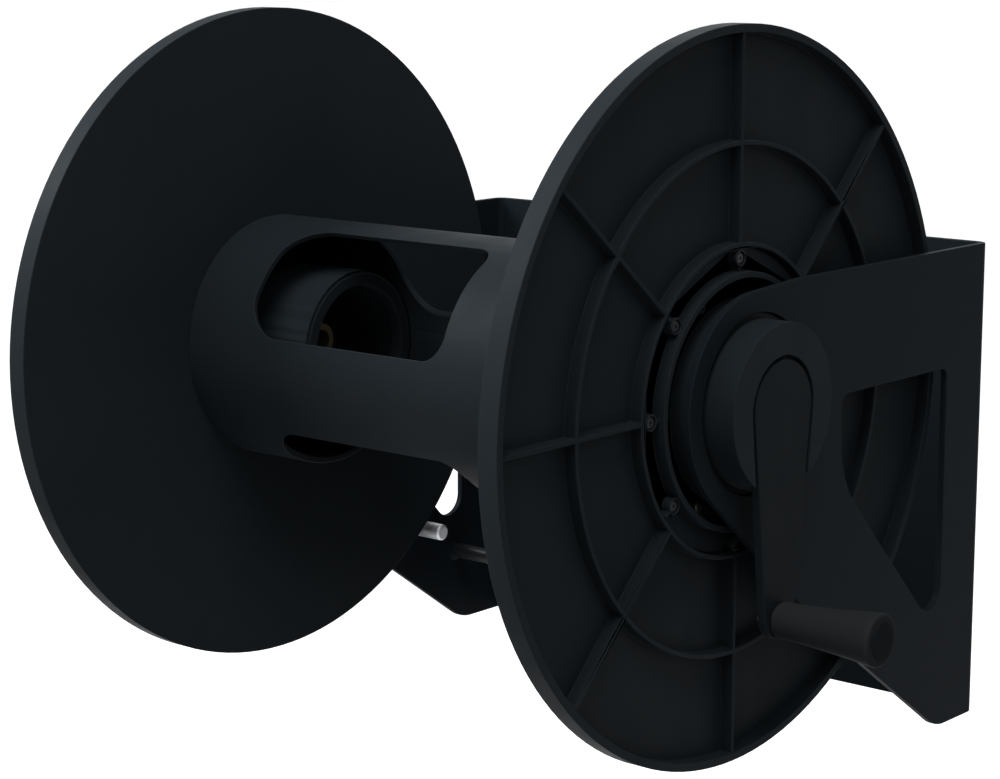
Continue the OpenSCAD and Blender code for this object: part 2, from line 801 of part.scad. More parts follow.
// Right hub: closed boss with a recess for the crank arm in its end
module hub_right() {
    bore_end = recess_floor - end_wall;
    color(satin_black) at_axis() along_x() difference() {
        union() {
            turned(concat(
                hub_outside(tube_in_right, hub_face),
                [
                    [0, hub_face],
                    [0, bore_end],
                    [hub_bore_r, bore_end],
                    [hub_bore_r, half_gap - tube_in_right]
                ]
            ));
            hub_plate_ribs();
        }
        hub_plate_holes();
        translate([0, 0, recess_floor]) crank_form(recess_gap, crank_t + cut);
        for (i = [0:crank_screw_count - 1])
            on_spoke(90 + 360 * i / crank_screw_count, crank_screw_r, bore_end - cut)
                cylinder(h = end_wall + 2 * cut, r = screw_r + seat_gap, $fn = fine);
    }
}

// Pan-head screw that points down from the origin, with a cross recess
module screw(length) {
    crown = head_h * 0.3;
    slot_len = head_r * 0.9;
    translate([0, 0, -length]) cylinder(h = length + head_h / 2, r = screw_r, $fn = fine);
    difference() {
        union() {
            cylinder(h = head_h - crown, r = head_r, $fn = fine);
            translate([0, 0, head_h - crown]) cylinder(h = crown, r1 = head_r, r2 = head_r * 0.7, $fn = fine);
        }
        for (turn = [0, 90])
            rotate([0, 0, turn]) translate([-slot_len / 2, -slot_w / 2, head_h / 2])
                cube([slot_len, slot_w, head_h]);
    }
}

module core_screws() {
    along_x() for (i = [0:core_screw_count - 1])
        on_spoke(360 * i / core_screw_count, core_screw_r, plate_face) screw(core_screw_len);
}

module core_screws_left() { color(dark_steel) at_axis() mirror([1, 0, 0]) core_screws(); }

module core_screws_right() { color(dark_steel) at_axis() core_screws(); }

module hub_screws() {
    along_x() for (post = hub_spots)
        on_spoke(post[1], post[0], post_floor) screw(post_floor - hub_screw_end);
}

module hub_screws_left() { color(dark_steel) at_axis() mirror([1, 0, 0]) hub_screws(); }

module hub_screws_right() { color(dark_steel) at_axis() hub_screws(); }

// Crank arm: flat outside, pocketed behind between the hub and the grip
module crank_arm() {
    lean = asin((crank_r_hub - crank_r_grip) / crank_len);
    pocket_from = hub_r + 6;
    pocket_to = crank_len - crank_r_grip - 2;
    bays = 3;
    bay = (pocket_to - pocket_from) / bays;
    color(satin_black) at_axis() along_x() difference() {
        translate([0, 0, recess_floor]) crank_form(0, crank_t);
        for (i = [0:bays - 1], side = [-1, 1]) {
            from = pocket_from + i * bay + pocket_wall / 2;
            to = pocket_from + (i + 1) * bay - pocket_wall / 2;
            half_from = (crank_r_hub - from * sin(lean)) / cos(lean) - pocket_wall;
            half_to = (crank_r_hub - to * sin(lean)) / cos(lean) - pocket_wall;
            translate([0, 0, recess_floor - cut]) linear_extrude(crank_t - pocket_skin + cut)
                polygon([
                    [from, side * pocket_wall / 2],
                    [to, side * pocket_wall / 2],
                    [to, side * half_to],
                    [from, side * half_from]
                ]);
        }
        for (i = [0:crank_screw_count - 1])
            on_spoke(90 + 360 * i / crank_screw_count, crank_screw_r, recess_floor - cut)
                cylinder(h = crank_t - crank_screw_skin + cut, r = screw_r + seat_gap, $fn = fine);
        translate([crank_throw, 0, recess_floor - cut])
            cylinder(h = crank_t + 2 * cut, r = axle_end_r + seat_gap, $fn = fine);
    }
}

module crank_screws() {
    bore_end = recess_floor - end_wall;
    tip = end_wall + crank_t - crank_screw_skin - slack;
    color(dark_steel) at_axis() along_x() for (i = [0:crank_screw_count - 1])
        on_spoke(90 + 360 * i / crank_screw_count, crank_screw_r, bore_end) mirror([0, 0, 1]) screw(tip);
}

// Steel axle of the grip: head, running length and threaded end
module grip_axle() {
    color(bright_steel) at_axis() along_x() translate([crank_throw, 0, 0]) {
        translate([0, 0, recess_floor - axle_nut_t - axle_tail])
            cylinder(h = crank_t + axle_nut_t + axle_tail + cut, r = axle_end_r, $fn = fine);
        translate([0, 0, hub_face]) cylinder(h = head_face - hub_face, r = axle_r, $fn = fine);
        translate([0, 0, head_face]) cylinder(h = axle_head_t, r = axle_head_r, $fn = fine);
    }
}

module axle_nut() {
    color(dark_steel) at_axis() along_x() translate([crank_throw, 0, recess_floor - axle_nut_t])
        difference() {
            cylinder(h = axle_nut_t, r = axle_nut_across / 2 / cos(30), $fn = 6);
            translate([0, 0, -cut])
                cylinder(h = axle_nut_t + 2 * cut, r = axle_end_r + seat_gap, $fn = fine);
        }
}

module grip_washer() {
    color(bright_steel) at_axis() along_x() translate([crank_throw, 0, hub_face])
        difference() {
            cylinder(h = washer_t - grip_play, r = washer_r, $fn = fine);
            translate([0, 0, -cut]) cylinder(h = washer_t + 2 * cut, r = axle_r + seat_gap, $fn = fine);
        }
}

// Radius of the grip at a share of its length
function grip_radius(s) = grip_r_base + (grip_r_end - grip_r_base) * pow(s, grip_flare);

// Grip: flared handle with a bore for its axle and a recess for head and cap
module grip() {
    steps = 12;
    bore = axle_r + run_gap;
    recess = axle_head_r + head_room;
    color(satin_black) at_axis() along_x() translate([crank_throw, 0, 0])
        turned(concat(
            [[bore, grip_start], [grip_r_base - 1, grip_start]],
            [
                for (i = [0:steps])
                    [grip_radius(i / steps), grip_start + 1 + (grip_len - 1 - grip_round) * i / steps]
            ],
            [
                for (a = [15:15:90])
                    [grip_r_end - grip_round + grip_round * cos(a), grip_end - grip_round + grip_round * sin(a)]
            ],
            [[recess, grip_end], [recess, recess_face], [bore, recess_face]]
        ));
}

// Cap pressed into the grip's end, with a thin lip over the rim
module grip_cap() {
    recess = axle_head_r + head_room - seat_gap;
    color(satin_black) at_axis() along_x() translate([crank_throw, 0, 0])
        turned([
            [0, cap_face],
            [recess, cap_face],
            [recess, grip_end],
            [recess + cap_lip, grip_end],
            [recess + cap_lip - 0.5, grip_end + cap_lip_t],
            [0, grip_end + 1.5 * cap_lip_t]
        ]);
}

// Spigot fixed in the left hub: hose thread inside, turned tail outside
module outlet_spigot() {
    color(brass_tone) at_axis() mirror([1, 0, 0]) along_x()
        turned([
            [water_r, thread_face],
            [thread_r - 1, thread_face],
            [thread_r, thread_face + 1],
            [thread_r, nut_back],
            [shank_r, nut_back],
            [shank_r, bulkhead_out_face],
            [flare_r, bulkhead_out_face],
            [flare_r, flare_face],
            [tail_r, flare_face],
            [tail_r, seal_first - seal_half],
            [tail_r - 2 * seal_r, seal_first - seal_half],
            [tail_r - 2 * seal_r, seal_first + seal_half],
            [tail_r, seal_first + seal_half],
            [tail_r, seal_first + seal_pitch - seal_half],
            [tail_r - 2 * seal_r, seal_first + seal_pitch - seal_half],
            [tail_r - 2 * seal_r, seal_first + seal_pitch + seal_half],
            [tail_r, seal_first + seal_pitch + seal_half],
            [tail_r, clip_x - groove_half],
            [groove_r, clip_x - groove_half],
            [groove_r, clip_x + groove_half],
            [tail_r, clip_x + groove_half],
            [tail_r, tail_face - 1],
            [tail_r - 1, tail_face],
            [water_r, tail_face]
        ]);
}

module seal_rings() {
    color(deep_black) at_axis() mirror([1, 0, 0]) along_x()
        for (i = [0, 1]) translate([0, 0, seal_first + i * seal_pitch])
            rotate_extrude($fn = smooth) translate([tail_r - seal_r, 0]) circle(seal_r, $fn = 16);
}

module spigot_washer() {
    color(deep_black) at_axis() mirror([1, 0, 0]) along_x()
        translate([0, 0, bulkhead_in_face - seal_washer_t]) difference() {
            cylinder(h = seal_washer_t, r = nut_across / 2 + seal_washer_w, $fn = smooth);
            translate([0, 0, -cut])
                cylinder(h = seal_washer_t + 2 * cut, r = shank_r + seat_gap, $fn = smooth);
        }
}

module spigot_nut() {
    color(brass_tone) at_axis() mirror([1, 0, 0]) along_x()
        translate([0, 0, nut_back]) difference() {
            cylinder(h = nut_t, r = nut_across / 2 / cos(30), $fn = 6);
            translate([0, 0, -cut]) cylinder(h = nut_t + 2 * cut, r = shank_r + seat_gap, $fn = smooth);
        }
}

// Inlet elbow: it turns on the spigot's tail and ends below in a hose thread
module inlet_elbow() {
    socket = tail_r + run_gap;
    socket_end = tail_face + 1;
    color(satin_black) at_axis() mirror([1, 0, 0]) difference() {
        union() {
            translate([elbow_start, 0, 0]) along_x()
                cylinder(h = elbow_x - elbow_start, r = elbow_r, $fn = smooth);
            translate([elbow_x, 0, 0]) sphere(elbow_r, $fn = smooth);
            translate([elbow_x, 0, thread_len - elbow_drop])
                cylinder(h = elbow_drop - thread_len, r = elbow_r, $fn = smooth);
            translate([elbow_x, 0, -elbow_drop]) cylinder(h = thread_len + cut, r = thread_r, $fn = smooth);
            translate([elbow_x, 0, thread_len - elbow_drop]) cylinder(h = spanner_h, r = elbow_r + spanner_w, $fn = 6);
        }
        translate([elbow_start - cut, 0, 0]) along_x()
            cylinder(h = socket_end - elbow_start + cut, r = socket, $fn = smooth);
        translate([elbow_start, 0, 0]) along_x() cylinder(h = elbow_x - elbow_start, r = water_r, $fn = fine);
        translate([elbow_x, 0, 0]) sphere(water_r, $fn = fine);
        translate([elbow_x, 0, -elbow_drop - cut]) cylinder(h = elbow_drop + cut, r = water_r, $fn = fine);
        for (side = [-1, 1])
            translate([clip_x, side * clip_y, 0])
                cylinder(h = 2 * (elbow_r + cut), r = clip_r + seat_gap, center = true, $fn = fine);
    }
}

// Wire clip whose two prongs lock the elbow onto the spigot's groove
module inlet_clip() {
    top = elbow_r + clip_r + seat_gap;
    color(bright_steel) at_axis() mirror([1, 0, 0]) translate([clip_x, 0, 0]) {
        for (side = [-1, 1])
            translate([0, side * clip_y, -top]) cylinder(h = 2 * top, r = clip_r, $fn = 16);
        for (side = [-1, 1]) translate([0, side * clip_y, top]) sphere(clip_r, $fn = 16);
        translate([0, 0, top]) rotate([90, 0, 0])
            cylinder(h = 2 * clip_y, r = clip_r, center = true, $fn = 16);
    }
}

bracket();
bush_left();
bush_right();
tie_bar();
tie_welds();
peg();
peg_nut();
core();
flange_left();
flange_right();
hub_left();
hub_right();
core_screws_left();
core_screws_right();
hub_screws_left();
hub_screws_right();
crank_arm();
crank_screws();
grip_axle();
grip_washer();
axle_nut();
grip();
grip_cap();
outlet_spigot();
spigot_nut();
spigot_washer();
seal_rings();
inlet_elbow();
inlet_clip();
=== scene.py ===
"""Hose reel on its wall bracket: finished edges, threads, materials, light and camera.

X runs along the drum towards the crank, Y into the wall and Z up, in metres.
"""

import json
import math

import bmesh
import bpy
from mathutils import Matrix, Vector


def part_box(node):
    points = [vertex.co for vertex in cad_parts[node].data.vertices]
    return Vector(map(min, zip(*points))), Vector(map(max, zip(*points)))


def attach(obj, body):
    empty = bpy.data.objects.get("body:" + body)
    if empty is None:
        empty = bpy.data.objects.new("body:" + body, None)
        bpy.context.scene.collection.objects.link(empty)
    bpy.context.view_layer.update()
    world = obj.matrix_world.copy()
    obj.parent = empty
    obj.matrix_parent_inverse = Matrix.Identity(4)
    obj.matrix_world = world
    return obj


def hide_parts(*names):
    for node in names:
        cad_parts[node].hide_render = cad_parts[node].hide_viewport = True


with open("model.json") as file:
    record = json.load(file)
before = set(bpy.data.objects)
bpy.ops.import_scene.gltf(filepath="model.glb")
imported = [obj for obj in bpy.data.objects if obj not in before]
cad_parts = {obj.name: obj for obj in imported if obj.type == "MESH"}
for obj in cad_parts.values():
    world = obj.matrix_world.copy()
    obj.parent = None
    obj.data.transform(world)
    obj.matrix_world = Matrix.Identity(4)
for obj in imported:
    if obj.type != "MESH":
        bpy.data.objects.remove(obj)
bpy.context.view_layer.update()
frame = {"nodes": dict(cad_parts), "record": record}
nodes = frame["nodes"]

MM = 0.001
DRUM_AXIS = Vector((0.0, -0.290, 0.098))

# How a CAD mesh is cleaned and shaded: corners closer than MERGE are one, faces more
# level than FLAT are one, edges sharper than CREASE are rounded, and milder edges than
# SHADED_SMOOTH shade smooth.
MERGE = 2e-6
FLAT = math.radians(0.6)
CREASE = math.radians(28)
SHADED_SMOOTH = math.radians(50)

# The 3/4 inch garden hose thread, and where it lies on the spigot and on the elbow.
# Its plain cylinder is drawn in from a shoulder just outside the thread's start.
THREAD_CREST = 13.49 * MM
THREAD_ROOT = 12.35 * MM
THREAD_PITCH = 2.209 * MM
RIDGE_FOOT = THREAD_ROOT - 0.3 * MM
HALF_RIDGE_FOOT = 0.44 * THREAD_PITCH
HALF_RIDGE_TOP = 0.12 * THREAD_PITCH
STEPS_PER_TURN = 48
ON_CREST = 0.05 * MM
OUTLET_START = -171.5 * MM
OUTLET_END = -156.5 * MM
OUTLET_SHOULDER = 0.2 * MM
INLET_X = -260 * MM
INLET_LENGTH = 16 * MM
INLET_SHOULDER = 2 * MM


# Materials

# Noise seldom leaves this span, so tones and gloss run from one end of it to the other.
NOISE_LOW = 0.3
NOISE_HIGH = 0.7
EDGE_BEGINS = 0.505
PLASTIC_IOR = 1.5
OPAQUE = 1.0


def shade(colour, factor):
    return tuple(c * factor for c in colour)


class Wiring:
    """The node tree of a material or a world, with a short call for each kind of node."""

    def __init__(self, owner):
        owner.use_nodes = True
        self.tree = owner.node_tree
        self.tree.nodes.clear()

    def add(self, kind, **settings):
        node = self.tree.nodes.new(kind)
        for key, value in settings.items():
            setattr(node, key, value)
        return node

    def join(self, start, end):
        self.tree.links.new(start, end)

    def spread(self, value, span, new_span):
        """Maps a value from one span to another and stops at its ends."""
        spread = self.add("ShaderNodeMapRange")
        for name, end in zip(("From Min", "From Max", "To Min", "To Max"), (*span, *new_span)):
            spread.inputs[name].default_value = end
        self.join(value, spread.inputs["Value"])
        return spread.outputs["Result"]

    def seen_rays(self):
        """One for camera, glossy and transmission rays, and nought for all others."""
        path = self.add("ShaderNodeLightPath")
        total = path.outputs["Is Camera Ray"]
        for name in ("Is Glossy Ray", "Is Transmission Ray"):
            larger = self.add("ShaderNodeMath", operation="MAXIMUM")
            self.join(total, larger.inputs[0])
            self.join(path.outputs[name], larger.inputs[1])
            total = larger.outputs["Value"]
        return total


class Finish(Wiring):
    """A material whose patterns follow Object coordinates."""

    def __init__(self, name):
        self.material = bpy.data.materials.new(name)
        super().__init__(self.material)
        self.shader = self.add("ShaderNodeBsdfPrincipled")
        output = self.add("ShaderNodeOutputMaterial")
        self.join(self.shader.outputs["BSDF"], output.inputs["Surface"])
        self.place = self.add("ShaderNodeTexCoord").outputs["Object"]

    def stretched(self, scale=(1.0, 1.0, 1.0), centre=(0.0, 0.0, 0.0)):
        """Object coordinates scaled by axis, counted from a centre."""
        mapping = self.add("ShaderNodeMapping", vector_type="TEXTURE")
        mapping.inputs["Location"].default_value = centre
        mapping.inputs["Scale"].default_value = tuple(1 / s for s in scale)
        self.join(self.place, mapping.inputs["Vector"])
        return mapping.outputs["Vector"]

    def noise(self, scale, detail=3.0, rough=0.55, vector=None):
        noise = self.add("ShaderNodeTexNoise")
        noise.inputs["Scale"].default_value = scale
        noise.inputs["Detail"].default_value = detail
        noise.inputs["Roughness"].default_value = rough
        self.join(vector or self.place, noise.inputs["Vector"])
        return noise.outputs["Fac"]

    def cells(self, scale):
        cells = self.add("ShaderNodeTexVoronoi", feature="SMOOTH_F1")
        cells.inputs["Scale"].default_value = scale
        self.join(self.place, cells.inputs["Vector"])
        return cells.outputs["Distance"]

    def tones(self, value, colour, dark, pale, high=NOISE_HIGH):
        """The colour times dark at low values and times pale at high ones."""
        ramp = self.add("ShaderNodeValToRGB")
        stops = ramp.color_ramp.elements
        for stop, position, factor in zip(stops, (NOISE_LOW, high), (dark, pale)):
            stop.position = position
            stop.color = (*shade(colour, factor), OPAQUE)
        self.join(value, ramp.inputs["Fac"])
        return ramp.outputs["Color"]

    def sum(self, first, second, weight):
        """The first value with a share of the second added."""
        total = self.add("ShaderNodeMath", operation="MULTIPLY_ADD")
        total.inputs[1].default_value = weight
        self.join(second, total.inputs[0])
        self.join(first, total.inputs[2])
        return total.outputs["Value"]

    def blend(self, share, first, second):
        blend = self.add("ShaderNodeMix", data_type="RGBA")
        self.join(share, blend.inputs["Factor"])
        self.join(first, blend.inputs["A"])
        self.join(second, blend.inputs["B"])
        return blend.outputs["Result"]

    def bump(self, height, depth, strength, below=None):
        bump = self.add("ShaderNodeBump")
        bump.inputs["Strength"].default_value = strength
        bump.inputs["Distance"].default_value = depth
        self.join(height, bump.inputs["Height"])
        if below is not None:
            self.join(below, bump.inputs["Normal"])
        return bump.outputs["Normal"]

    def edges(self, full):
        """Nought on level ground, rising to one on edges as sharp as full."""
        point = self.add("ShaderNodeNewGeometry").outputs["Pointiness"]
        return self.spread(point, (EDGE_BEGINS, full), (0.0, 1.0))

    def set(self, **values):
        for key, value in values.items():
            self.shader.inputs[key.replace("_", " ")].default_value = value

    def colour(self, source):
        self.join(source, self.shader.inputs["Base Color"])

    def gloss(self, value, rough):
        """Roughness that runs through the span of rough as the value rises."""
        source = self.spread(value, (NOISE_LOW, NOISE_HIGH), rough)
        self.join(source, self.shader.inputs["Roughness"])

    def normal(self, source):
        self.join(source, self.shader.inputs["Normal"])


def coated_plate(name, black, rough, shine):
    """Black powder coat on steel: orange peel, faint mottle, rubbed edges."""
    n = Finish(name)
    mottle = n.noise(scale=9.0, detail=4.0, rough=0.6)
    base = n.tones(mottle, black, dark=0.97, pale=1.03)
    worn = n.tones(mottle, black, dark=1.3, pale=1.5)
    n.colour(n.blend(n.edges(full=0.56), base, worn))
    n.gloss(n.noise(scale=60.0), rough)
    dimples = n.noise(scale=420.0, detail=2.0, rough=0.5)
    peel = n.sum(dimples, n.cells(scale=650.0), weight=0.35)
    n.normal(n.bump(peel, depth=0.12 * MM, strength=0.55))
    n.set(IOR=PLASTIC_IOR, Specular_IOR_Level=shine)
    return n.material


def moulded_black(name, black, grain=0.4, rough=(0.46, 0.58), shine=0.016):
    """Black moulded plastic: fine spark texture, slow flow marks, paler edges."""
    n = Finish(name)
    flow = n.noise(scale=7.0, rough=0.5, vector=n.stretched(centre=DRUM_AXIS))
    base = n.tones(flow, black, dark=0.94, pale=1.07, high=0.72)
    rubbed = n.tones(flow, black, dark=1.25, pale=1.45)
    n.colour(n.blend(n.edges(full=0.57), base, rubbed))
    n.gloss(n.noise(scale=34.0, detail=4.0), rough)
    fine = n.noise(scale=1500.0, detail=2.0, rough=0.6)
    coarse = n.noise(scale=520.0, detail=1.0, rough=0.4)
    spark = n.sum(fine, coarse, weight=0.6)
    sink = n.noise(scale=16.0, detail=1.0, rough=0.3)
    waves = n.bump(sink, depth=0.6 * MM, strength=0.12)
    n.normal(n.bump(spark, depth=0.08 * MM, strength=grain, below=waves))
    n.set(IOR=PLASTIC_IOR, Specular_IOR_Level=shine)
    return n.material


def turned_metal(name, tone, rough):
    """Metal with fine lathe lines round its X axis and a little handling dullness."""
    n = Finish(name)
    lines = n.stretched(scale=(3200.0, 60.0, 60.0))
    turning = n.noise(scale=1.0, detail=2.0, rough=0.6, vector=lines)
    n.colour(n.tones(n.noise(scale=120.0, detail=4.0), tone, dark=0.75, pale=1.0))
    n.gloss(turning, rough)
    n.normal(n.bump(turning, depth=0.03 * MM, strength=0.35))
    n.set(Metallic=1.0)
    return n.material


def moulded_rubber(name, black):
    """Dull black rubber with a fine uneven skin."""
    n = Finish(name)
    n.colour(n.tones(n.noise(scale=200.0), black, dark=0.6, pale=1.0))
    n.gloss(n.noise(scale=300.0), (0.45, 0.6))
    n.normal(n.bump(n.noise(scale=900.0), depth=0.04 * MM, strength=0.3))
    n.set(Specular_IOR_Level=0.3)
    return n.material


POWDER_COAT = coated_plate(
    "powder_coat", black=(0.0042, 0.0060, 0.0076), rough=(0.46, 0.5), shine=0.014
)
ROD_COAT = coated_plate(
    "rod_coat", black=(0.0075, 0.0085, 0.0090), rough=(0.34, 0.4), shine=0.12
)
DRUM_PLASTIC = moulded_black("drum_plastic", black=(0.0064, 0.0084, 0.0100))
CRANK_PLASTIC = moulded_black(
    "crank_plastic", black=(0.0053, 0.0068, 0.0080), grain=0.5, shine=0.012
)
GRIP_PLASTIC = moulded_black(
    "grip_plastic", black=(0.0104, 0.0116, 0.0123), grain=0.8, rough=(0.5, 0.6), shine=0.004
)
# The cap is the grip's own plastic in a darker copy: painted shade for its end face, which
# faces away from the light.
CAP_PLASTIC_PAINTED_SHADE = moulded_black(
    "cap_plastic_painted_shade", black=(0.0056, 0.0070, 0.0082), grain=0.6, rough=(0.5, 0.6), shine=0.004
)
INLET_PLASTIC = moulded_black("inlet_plastic", black=(0.0056, 0.0072, 0.0084), grain=0.5)
BEARING_PLASTIC = moulded_black(
    "bearing_plastic", black=(0.006, 0.0066, 0.007), grain=0.3, rough=(0.38, 0.46)
)
ZINC = turned_metal("zinc_plate", tone=(0.5, 0.52, 0.54), rough=(0.5, 0.62))
BLACK_ZINC = turned_metal("black_zinc", tone=(0.03, 0.031, 0.033), rough=(0.45, 0.55))
# Brass with its tone darkened far below bright brass: painted shade, so the spigot stays as
# dark as the shaded tube mouth round it.
BRASS_IN_PAINTED_SHADE = turned_metal("turned_brass_painted_shade", tone=(0.11, 0.085, 0.05), rough=(0.5, 0.62))
RUBBER = moulded_rubber("seal_rubber", black=(0.02, 0.02, 0.02))


# Shaping

BODY_OF = {
    node: body
    for body, members in frame["record"]["behaviour"]["bodies"].items()
    for node in members
}


def clean_copy(node):
    """A CAD node's mesh with its corners merged and its flat faces made whole."""
    shape = bmesh.new()
    shape.from_mesh(nodes[node].data)
    bmesh.ops.remove_doubles(shape, verts=shape.verts, dist=MERGE)
    bmesh.ops.dissolve_limit(
        shape,
        angle_limit=FLAT,
        use_dissolve_boundaries=False,
        verts=shape.verts,
        edges=shape.edges,
        delimit=set(),
    )
    return shape


def creases(shape):
    """Edges where two faces meet at a clear angle."""
    return [e for e in shape.edges if len(e.link_faces) == 2 and e.calc_face_angle() > CREASE]


def soften(shape, width, segments):
    """Rounds every crease, as moulding, coating and deburring leave it."""
    bmesh.ops.bevel(
        shape,
        geom=creases(shape),
        offset=width,
        offset_type="OFFSET",
        segments=segments,
        profile=0.5,
        affect="EDGES",
        clamp_overlap=False,
        material=-1,
        loop_slide=False,
    )


def new_piece(name, shape, material, body):
    """Makes the shape an object that rides on a CAD body."""
    mesh = bpy.data.meshes.new(name)
    for face in shape.faces:
        face.smooth = True
    shape.to_mesh(mesh)
    shape.free()
    mesh.set_sharp_from_angle(angle=SHADED_SMOOTH)
    mesh.materials.append(material)
    piece = bpy.data.objects.new(name, mesh)
    bpy.context.scene.collection.objects.link(piece)
    level = piece.modifiers.new("level_faces", "WEIGHTED_NORMAL")
    level.keep_sharp = True
    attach(piece, body)
    return piece


def dress(node, name, material, edge, segments=2, change=None):
    """Replaces a CAD node by the same shape, with its edges rounded by edge in mm."""
    shape = clean_copy(node)
    if change is not None:
        change(shape)
    soften(shape, edge * MM, segments)
    piece = new_piece(name, shape, material, BODY_OF[node])
    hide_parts(node)


def sink_thread(shape, inside, centre, along):
    """Draws the plain thread cylinder in to the thread's root."""
    for vert in shape.verts:
        away = vert.co - centre
        away -= along * away.dot(along)
        if inside(vert.co) and abs(away.length - THREAD_CREST) < ON_CREST:
            vert.co -= away.normalized() * (THREAD_CREST - THREAD_ROOT)


def thread_ridge(shape, start, along, length):
    """Adds one helical ridge with a trapezoid section, half a pitch in at each end."""
    side = along.orthogonal().normalized()
    turns = length / THREAD_PITCH - 1
    steps = int(STEPS_PER_TURN * turns)
    section = [
        (RIDGE_FOOT, -HALF_RIDGE_FOOT),
        (THREAD_CREST, -HALF_RIDGE_TOP),
        (THREAD_CREST, HALF_RIDGE_TOP),
        (RIDGE_FOOT, HALF_RIDGE_FOOT),
    ]
    first = start + along * (THREAD_PITCH / 2)
    ridge = bmesh.new()
    verts = [ridge.verts.new(first + side * out + along * on) for out, on in section]
    profile = [ridge.edges.new(ends) for ends in zip(verts, verts[1:] + verts[:1])]
    result = bmesh.ops.spin(
        ridge,
        geom=verts + profile,
        cent=start,
        axis=along,
        dvec=along * (turns * THREAD_PITCH / steps),
        angle=2 * math.pi * turns,
        steps=steps,
        use_merge=False,
    )
    last = [v for v in result["geom_last"] if isinstance(v, bmesh.types.BMVert)]
    for end in (verts, last):
        bmesh.ops.contextual_create(ridge, geom=end)
    bmesh.ops.recalc_face_normals(ridge, faces=ridge.faces)
    if ridge.calc_volume(signed=True) < 0:
        bmesh.ops.reverse_faces(ridge, faces=ridge.faces)
    made = bpy.data.meshes.new("ridge")
    ridge.to_mesh(made)
    ridge.free()
    shape.from_mesh(made)
    bpy.data.meshes.remove(made)


# Pieces


def finish_bracket():
    dress("bracket", "bracket_plate", POWDER_COAT, edge=0.7, segments=3)
    dress("tie_bar", "tie_bar_rod", ROD_COAT, edge=0.4)
    dress("tie_welds", "tie_bar_welds", POWDER_COAT, edge=0.3)
    dress("bush_left", "bush_left_ring", BEARING_PLASTIC, edge=0.35)
    dress("bush_right", "bush_right_ring", BEARING_PLASTIC, edge=0.35)
    dress("peg", "hose_peg", ZINC, edge=0.3)
    dress("peg_nut", "hose_peg_nut", BLACK_ZINC, edge=0.3)


def finish_drum():
    dress("core", "core_tube", DRUM_PLASTIC, edge=0.9, segments=3)
    dress("flange_left", "flange_left_disc", DRUM_PLASTIC, edge=0.7)
    dress("flange_right", "flange_right_disc", DRUM_PLASTIC, edge=0.7)
    dress("hub_left", "hub_left_tube", DRUM_PLASTIC, edge=0.5)
    dress("hub_right", "hub_right_boss", DRUM_PLASTIC, edge=0.5)
    for side in ("left", "right"):
        for screws in (f"core_screws_{side}", f"hub_screws_{side}"):
            dress(screws, f"{screws}_set", BLACK_ZINC, edge=0.12, segments=1)


def finish_crank():
    dress("crank_arm", "crank_arm_bar", CRANK_PLASTIC, edge=0.6, segments=3)
    dress("crank_screws", "crank_screws_set", BLACK_ZINC, edge=0.12, segments=1)
    dress("grip_axle", "grip_axle_bolt", ZINC, edge=0.3)
    dress("grip_washer", "grip_washer_ring", BLACK_ZINC, edge=0.12, segments=1)
    dress("axle_nut", "axle_nut_hex", BLACK_ZINC, edge=0.3)
    dress("grip", "grip_handle", GRIP_PLASTIC, edge=0.4)
    # The end cap wears the darker copy of the grip plastic, painted shade for its end face.
    dress("grip_cap", "grip_end_cap", CAP_PLASTIC_PAINTED_SHADE, edge=0.3)


def outlet_thread(shape):
    """Cuts the thread inside the left hub that the wound hose screws on to."""
    inward = Vector((1.0, 0.0, 0.0))
    start = Vector((OUTLET_START, DRUM_AXIS.y, DRUM_AXIS.z))
    sink_thread(shape, lambda p: p.x > OUTLET_START - OUTLET_SHOULDER, DRUM_AXIS, inward)
    thread_ridge(shape, start, inward, OUTLET_END - OUTLET_START)


def inlet_thread(shape):
    """Cuts the thread at the elbow's foot that the supply hose screws on to."""
    down = Vector((0.0, 0.0, -1.0))
    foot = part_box("inlet_elbow")[0].z
    top = foot + INLET_LENGTH
    start = Vector((INLET_X, DRUM_AXIS.y, top))
    sink_thread(shape, lambda p: p.z < top + INLET_SHOULDER, start, down)
    thread_ridge(shape, start, down, INLET_LENGTH)


def finish_water_way():
    # The spigot and its nut use the darkened brass, painted shade inside the tube mouth.
    dress(
        "outlet_spigot",
        "outlet_spigot_turned",
        BRASS_IN_PAINTED_SHADE,
        edge=0.2,
        segments=1,
        change=outlet_thread,
    )
    dress("spigot_nut", "spigot_nut_hex", BRASS_IN_PAINTED_SHADE, edge=0.3)
    dress("spigot_washer", "spigot_washer_ring", RUBBER, edge=0.2, segments=1)
    dress("seal_rings", "seal_ring_pair", RUBBER, edge=0.05, segments=1)
    dress("inlet_elbow", "inlet_elbow_body", INLET_PLASTIC, edge=0.3, change=inlet_thread)
    dress("inlet_clip", "inlet_clip_wire", ZINC, edge=0.1, segments=1)


# Stage

WHITE = (1.0, 1.0, 1.0, 1.0)
WORLD_LIGHT = 0.15
WORLD_SEEN = 1.0

# The floor's glow rises through one span of strength over one span of distance, so it is
# weaker near the reel: a painted shade under it.
FLOOR_GREY = (0.5, 0.5, 0.5, 1.0)
FLOOR_HEIGHT = -1.1
FLOOR_RADIUS = 30.0
GLOW_DISTANCE = (0.4, 2.0)
GLOW_STRENGTH = (0.62, 1.0)

# Each lamp's name, place, disk size in metres and power in watts.
LAMPS = (
    ("key_above", (0.6, -1.4, 2.3), 1.6, 82.0),
    ("soft_front", (-0.2, -2.8, 1.9), 1.4, 28.0),
    ("soft_left", (-2.0, -1.7, 1.9), 1.8, 190.0),
    ("rim_behind", (-1.2, 1.6, 1.8), 1.5, 9.0),
    ("fill_right", (2.4, -1.2, 1.4), 2.0, 23.0),
)
LAMPS_AIM = Vector((0.0, -0.25, 0.05))

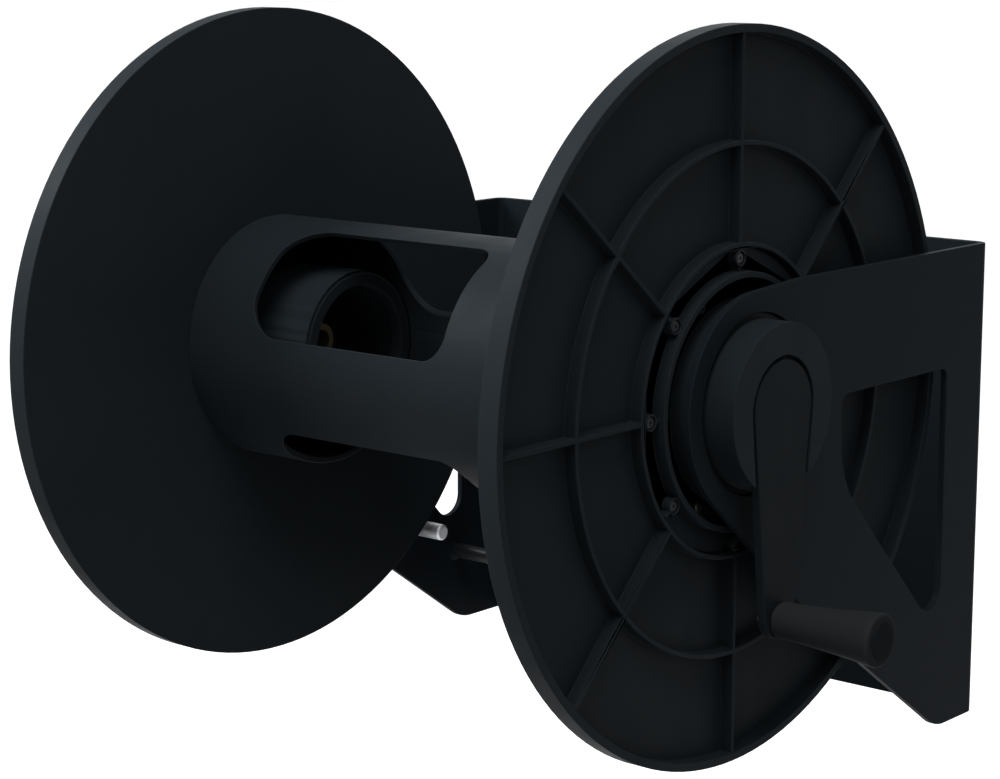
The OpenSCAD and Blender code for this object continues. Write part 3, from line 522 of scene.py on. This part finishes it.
CAMERA_PLACE = (1.1482, -1.6276, 0.4068)
CAMERA_TILT = math.radians(79.50)
CAMERA_TURN = math.radians(40.26)
CAMERA_LENS = 92.92
CAMERA_SENSOR = 36.0


def area_lamp(name, place, size, power):
    data = bpy.data.lights.new(name, "AREA")
    data.shape = "DISK"
    data.size = size
    data.energy = power
    lamp = bpy.data.objects.new(name, data)
    lamp.location = place
    lamp.rotation_euler = (LAMPS_AIM - Vector(place)).to_track_quat("-Z", "Y").to_euler()
    bpy.context.scene.collection.objects.link(lamp)


def white_world():
    """White to look at, with a weak white fill on the reel."""
    world = bpy.data.worlds.new("studio")
    bpy.context.scene.world = world
    n = Wiring(world)
    mix = n.add("ShaderNodeMixShader")
    for socket, strength in ((1, WORLD_LIGHT), (2, WORLD_SEEN)):
        white = n.add("ShaderNodeBackground")
        white.inputs["Color"].default_value = WHITE
        white.inputs["Strength"].default_value = strength
        n.join(white.outputs["Background"], mix.inputs[socket])
    n.join(n.seen_rays(), mix.inputs["Fac"])
    output = n.add("ShaderNodeOutputWorld")
    n.join(mix.outputs["Shader"], output.inputs["Surface"])


def floor_material():
    """Matte grey, with a glow on top that is weaker near the reel, a painted shade under it,
    and reaches white farther out.
    """
    material = bpy.data.materials.new("pale_floor")
    n = Wiring(material)
    matte = n.add("ShaderNodeBsdfDiffuse")
    matte.inputs["Color"].default_value = FLOOR_GREY
    distance = n.add("ShaderNodeVectorMath", operation="LENGTH")
    n.join(n.add("ShaderNodeTexCoord").outputs["Object"], distance.inputs[0])
    strength = n.add("ShaderNodeMath", operation="MULTIPLY")
    n.join(n.seen_rays(), strength.inputs[0])
    # Weaker glow near the reel paints a soft shade under it.
    rise = n.spread(distance.outputs["Value"], GLOW_DISTANCE, GLOW_STRENGTH)
    n.join(rise, strength.inputs[1])
    glow = n.add("ShaderNodeEmission")
    n.join(strength.outputs["Value"], glow.inputs["Strength"])
    both = n.add("ShaderNodeAddShader")
    n.join(matte.outputs["BSDF"], both.inputs[0])
    n.join(glow.outputs["Emission"], both.inputs[1])
    output = n.add("ShaderNodeOutputMaterial")
    n.join(both.outputs["Shader"], output.inputs["Surface"])
    return material


def pale_floor():
    """A wide floor that keeps the reel's shadow."""
    shape = bmesh.new()
    bmesh.ops.create_circle(shape, cap_ends=True, radius=FLOOR_RADIUS, segments=64)
    bmesh.ops.translate(shape, verts=shape.verts, vec=(0.0, 0.0, FLOOR_HEIGHT))
    mesh = bpy.data.meshes.new("floor")
    shape.to_mesh(mesh)
    shape.free()
    mesh.materials.append(floor_material())
    floor = bpy.data.objects.new("floor", mesh)
    bpy.context.scene.collection.objects.link(floor)


def place_camera():
    data = bpy.data.cameras.new("camera")
    data.lens = CAMERA_LENS
    data.sensor_width = CAMERA_SENSOR
    data.sensor_fit = "HORIZONTAL"
    data.clip_start = 0.05
    data.clip_end = 100.0
    camera = bpy.data.objects.new("camera", data)
    camera.location = CAMERA_PLACE
    camera.rotation_euler = (CAMERA_TILT, 0.0, CAMERA_TURN)
    bpy.context.scene.collection.objects.link(camera)
    bpy.context.scene.camera = camera


place_camera()
finish_bracket()
finish_drum()
finish_crank()
finish_water_way()
white_world()
pale_floor()
for lamp in LAMPS:
    area_lamp(*lamp)
bpy.context.scene.view_settings.view_transform = "Standard"
